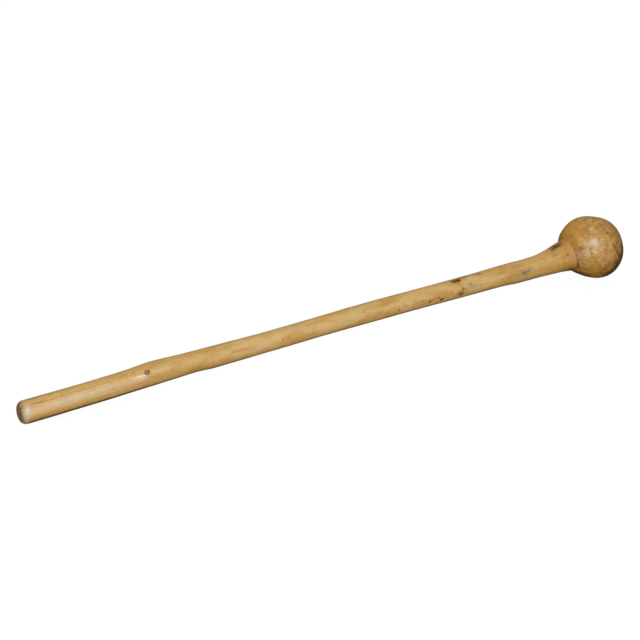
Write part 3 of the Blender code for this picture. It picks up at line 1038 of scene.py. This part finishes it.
def burl_figure(wood):
    """Colour and height of burl: mottled golden browns with small dark eyes and paler swirls."""
    def at(*scale):
        return wood.place(scale, "burl_place")

    broad = wood.noise(at(70, 70, 70), 2.0, 0.5, 0.6)
    mottle = wood.noise(at(150, 150, 150), 3.0, 0.6, 1.2)
    swirl = wood.noise(at(90, 200, 160), 3.0, 0.6, 2.4)
    fine = wood.noise(at(700, 700, 700), 3.0, 0.6)
    eyes = wood.spots(at(160, 160, 160))
    broken_eyes = wood.math('ADD', eyes, wood.scaled(mottle, 0.3, 0.7, 0.16, -0.12))
    colour = wood.mix(wood.scaled(broad, 0.36, 0.64), rgb(0.43, 0.214, 0.045), rgb(0.545, 0.308, 0.084))
    colour = wood.lay(colour, (
        (swirl, 0.46, 0.62, 0.85, rgb(0.655, 0.425, 0.16)),
        (mottle, 0.46, 0.68, 0.55, rgb(0.3, 0.136, 0.026)),
        (broken_eyes, 0.3, 0.08, 0.5, rgb(0.205, 0.086, 0.017)),
        (fine, 0.5, 0.66, 0.2, rgb(0.3, 0.135, 0.026)),
    ))
    height = wood.math('ADD', wood.math('MULTIPLY', fine, 0.5), wood.scaled(eyes, 0.05, 0.24, 0.0, 0.6))
    height = wood.math('ADD', height, wood.math('MULTIPLY', mottle, 0.8))
    return colour, height, mottle


def shaft_material():
    """Debarked branch: straight, fine grain, hand-worn to a satin shine, with a browner sawn end."""
    wood = Surface("shaft_wood_fine")
    broad = wood.noise(wood.place((28, 75, 75)), 2.0, 0.5)
    bands = wood.noise(wood.place((14, 330, 330)), 3.0, 0.6, 0.4)
    lines = wood.noise(wood.place((60, 1500, 1500)), 2.0, 0.6)
    figure = wood.noise(wood.place((160, 260, 260)), 3.0, 0.65, 0.8)
    flecks = wood.noise(wood.place((330, 560, 560)), 2.0, 0.6)
    pores = wood.spots(wood.place((260, 2200, 2200)))
    colour = wood.mix(wood.scaled(broad, 0.38, 0.62), rgb(0.555, 0.322, 0.086), rgb(0.63, 0.39, 0.124))
    colour = wood.lay(colour, (
        (bands, 0.44, 0.6, 0.65, rgb(0.68, 0.45, 0.17)),
        (figure, 0.5, 0.62, 0.5, rgb(0.53, 0.28, 0.064)),
        (lines, 0.5, 0.7, 0.3, rgb(0.44, 0.24, 0.065)),
        (flecks, 0.56, 0.7, 0.45, rgb(0.4, 0.205, 0.048)),
        (pores, 0.16, 0.05, 0.3, rgb(0.28, 0.14, 0.038)),
    ))
    burl, burl_height, mottle = burl_figure(wood)
    ragged_burl = wood.math('ADD', wood.mask("burl"), wood.scaled(mottle, 0.3, 0.7, -0.2, 0.2))
    burl_share = wood.scaled(ragged_burl, 0.2, 1.0)
    colour = wood.mix(burl_share, colour, burl)

    end_patches = wood.scaled(wood.noise(wood.place((10, 420, 420)), 4.0, 0.65, 1.2), 0.35, 0.65)
    end_rings = wood.rings(wood.place((0, 1, 1)), 210.0, 2.2)
    end_colour = wood.mix(end_patches, rgb(0.36, 0.185, 0.072), rgb(0.54, 0.335, 0.17))
    end_colour = wood.lay(end_colour, [(end_rings, 0.45, 0.85, 0.55, rgb(0.25, 0.118, 0.042))])
    end_share = wood.scaled(wood.mask("end_grain"), 0.15, 1.0)
    colour = wood.mix(end_share, colour, end_colour)
    breakup = wood.scaled(wood.noise(wood.place((420, 900, 900)), 3.0, 0.7), 0.25, 0.65, 0.6, 1.25)
    colour = add_marks(wood, colour, breakup)

    gloss = wood.scaled(bands, 0.3, 0.7, 0.31, 0.39)
    worn = wood.math('SUBTRACT', gloss, wood.math('MULTIPLY', wood.mask("polish"), 0.13))
    roughness = wood.math('ADD', worn, wood.math('MULTIPLY', end_share, 0.08))
    height = wood.math('ADD', wood.math('MULTIPLY', lines, 0.5), wood.math('MULTIPLY', figure, 0.8))
    height = wood.math('ADD', height, wood.scaled(pores, 0.05, 0.16, 0.0, 0.25))
    height = wood.math('ADD', height, wood.math('MULTIPLY', burl_height, burl_share))
    finish_surface(wood, colour, roughness, height, 0.35, 0.12 * MM)
    return wood.material


def ball_material():
    """Burl, rubbed to a satin shine."""
    wood = Surface("ball_wood_fine")
    colour, height, mottle = burl_figure(wood)
    colour = add_marks(wood, colour, wood.scaled(mottle, 0.25, 0.65, 0.6, 1.25))
    finish_surface(wood, colour, wood.scaled(mottle, 0.3, 0.7, 0.29, 0.39), height, 0.4, 0.16 * MM)
    return wood.material


def knot_material():
    """Dead branch end: mottled browns, darker towards its edge."""
    wood = Surface("knot_wood_fine")
    mottle = wood.noise(wood.place((900, 900, 500)), 3.0, 0.6, 1.5)
    fibre = wood.noise(wood.place((3500, 3500, 900)), 2.0, 0.6)
    colour = wood.mix(wood.scaled(mottle, 0.38, 0.62), rgb(0.24, 0.13, 0.052), rgb(0.44, 0.285, 0.14))
    colour = wood.lay(colour, (
        (fibre, 0.5, 0.7, 0.4, rgb(0.17, 0.09, 0.036)),
        (wood.mask("umber_and_shade"), 0.1, 0.9, 0.85, rgb(0.16, 0.084, 0.032)),
    ))
    roughness = wood.scaled(mottle, 0.3, 0.7, 0.44, 0.58)
    finish_surface(wood, colour, roughness, wood.math('ADD', mottle, fibre), 0.4, 0.08 * MM)
    return wood.material


# ---------------- stage, light and camera
FLOOR_RADIUS = 2.6
WALL_HEIGHT = 2.4
SWEEP_RADIUS = 0.8
SWEEP_STEPS = 8


def make_stage():
    """A pale round floor that curves up into a wall on every side, so that no edge shows."""
    profile = [(FLOOR_RADIUS / 2, 0.0)]
    for step in range(SWEEP_STEPS + 1):
        turn = math.pi / 2 * step / SWEEP_STEPS
        profile.append((FLOOR_RADIUS + SWEEP_RADIUS * math.sin(turn), SWEEP_RADIUS * (1 - math.cos(turn))))
    profile.append((FLOOR_RADIUS + SWEEP_RADIUS, WALL_HEIGHT))
    sides = 96
    points = [(0.0, 0.0, 0.0)]
    faces = []
    for radius, height in profile:
        for side in range(sides):
            turn = 2 * math.pi * side / sides
            points.append((radius * math.cos(turn), radius * math.sin(turn), height))
    for side in range(sides):
        after = (side + 1) % sides
        faces.append((0, 1 + side, 1 + after))
        for ring in range(len(profile) - 1):
            low, high = 1 + ring * sides, 1 + (ring + 1) * sides
            faces.append((low + side, high + side, high + after, low + after))
    mesh = bpy.data.meshes.new("studio_floor")
    mesh.from_pydata(points, [], faces)
    mesh.shade_smooth()
    floor = bpy.data.objects.new("studio_floor", mesh)
    bpy.context.scene.collection.objects.link(floor)
    floor.visible_diffuse = False
    floor.visible_glossy = False

    paper = Surface("studio_paper")
    paper.feed(paper.shader, {
        "Base Color": rgb(0.08, 0.08, 0.08), "Roughness": 0.9, "Specular IOR Level": 0.0,
        "Emission Color": rgb(1.0, 1.0, 1.0), "Emission Strength": 0.95,
    })
    mesh.materials.append(paper.material)


def aimed(direction, distance, target):
    """Matrix of an object at a direction (azimuth, elevation in degrees) from a target, facing it."""
    azimuth, elevation = (math.radians(value) for value in direction)
    back = Vector((
        math.sin(azimuth) * math.cos(elevation),
        -math.cos(azimuth) * math.cos(elevation),
        math.sin(elevation),
    ))
    right = Vector((math.cos(azimuth), math.sin(azimuth), 0.0))
    placed = Matrix((right, back.cross(right), back)).transposed().to_4x4()
    placed.translation = Vector(target) + back * distance
    return placed


def add_softbox(name, direction, distance, size, power, colour, glossy=True):
    light = bpy.data.lights.new(name, 'AREA')
    light.shape = 'RECTANGLE'
    light.size, light.size_y = size
    light.energy = power
    light.color = colour
    lamp = bpy.data.objects.new(name, light)
    lamp.matrix_world = aimed(direction, distance, (0.0, 0.0, 0.0))
    lamp.visible_glossy = glossy
    bpy.context.scene.collection.objects.link(lamp)


def make_lights():
    add_softbox("key_softbox", (-17, 42), 2.0, (0.8, 0.55), 15, (1.0, 0.99, 0.99))
    add_softbox("front_softbox", (-28, 9), 2.2, (2.0, 0.7), 21, (1.0, 0.96, 0.88))
    add_softbox("top_softbox", (0, 86), 1.9, (1.6, 1.2), 5, (1.0, 1.0, 1.0), glossy=False)
    add_softbox("back_softbox", (150, 28), 2.2, (1.4, 0.8), 18, (1.0, 0.98, 0.95), glossy=False)
    world = bpy.data.worlds.new("studio_air")
    world.use_nodes = True
    tree = world.node_tree
    direction = tree.nodes.new('ShaderNodeTexCoord')
    split = tree.nodes.new('ShaderNodeSeparateXYZ')
    level = tree.nodes.new('ShaderNodeMapRange')
    for name, number in (("From Min", -0.5), ("From Max", 0.5), ("To Min", 0.12), ("To Max", 0.34)):
        level.inputs[name].default_value = number
    tree.links.new(direction.outputs["Generated"], split.inputs["Vector"])
    tree.links.new(split.outputs["Z"], level.inputs["Value"])
    tree.links.new(level.outputs["Result"], tree.nodes["Background"].inputs["Strength"])
    tree.nodes["Background"].inputs["Color"].default_value = rgb(1.0, 1.0, 1.0)
    bpy.context.scene.world = world
    world.cycles_visibility.glossy = False


CAMERA_DIRECTION = (-28.2, 28.72)
CAMERA_DISTANCE = 1.9
CAMERA_AIM = (-0.0154, 0.0094, 0.0219)
CAMERA_LENS = 112.0


def make_camera():
    camera = bpy.data.cameras.new("camera")
    camera.lens = CAMERA_LENS
    holder = bpy.data.objects.new("camera", camera)
    holder.matrix_world = aimed(CAMERA_DIRECTION, CAMERA_DISTANCE, CAMERA_AIM)
    bpy.context.scene.collection.objects.link(holder)
    bpy.context.scene.camera = holder


def add_piece(piece, material, node):
    """Dress a piece, let it stand for its CAD node and tie it to the model's one body."""
    piece.data.materials.append(material)
    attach(piece, "root")
    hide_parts(node)


make_camera()
make_stage()
make_lights()
add_piece(make_shaft(), shaft_material(), "shaft")
add_piece(make_ball(), ball_material(), "ball_head")
add_piece(make_knot(), knot_material(), "knot_stub")
bpy.context.scene.view_settings.view_transform = 'Standard'
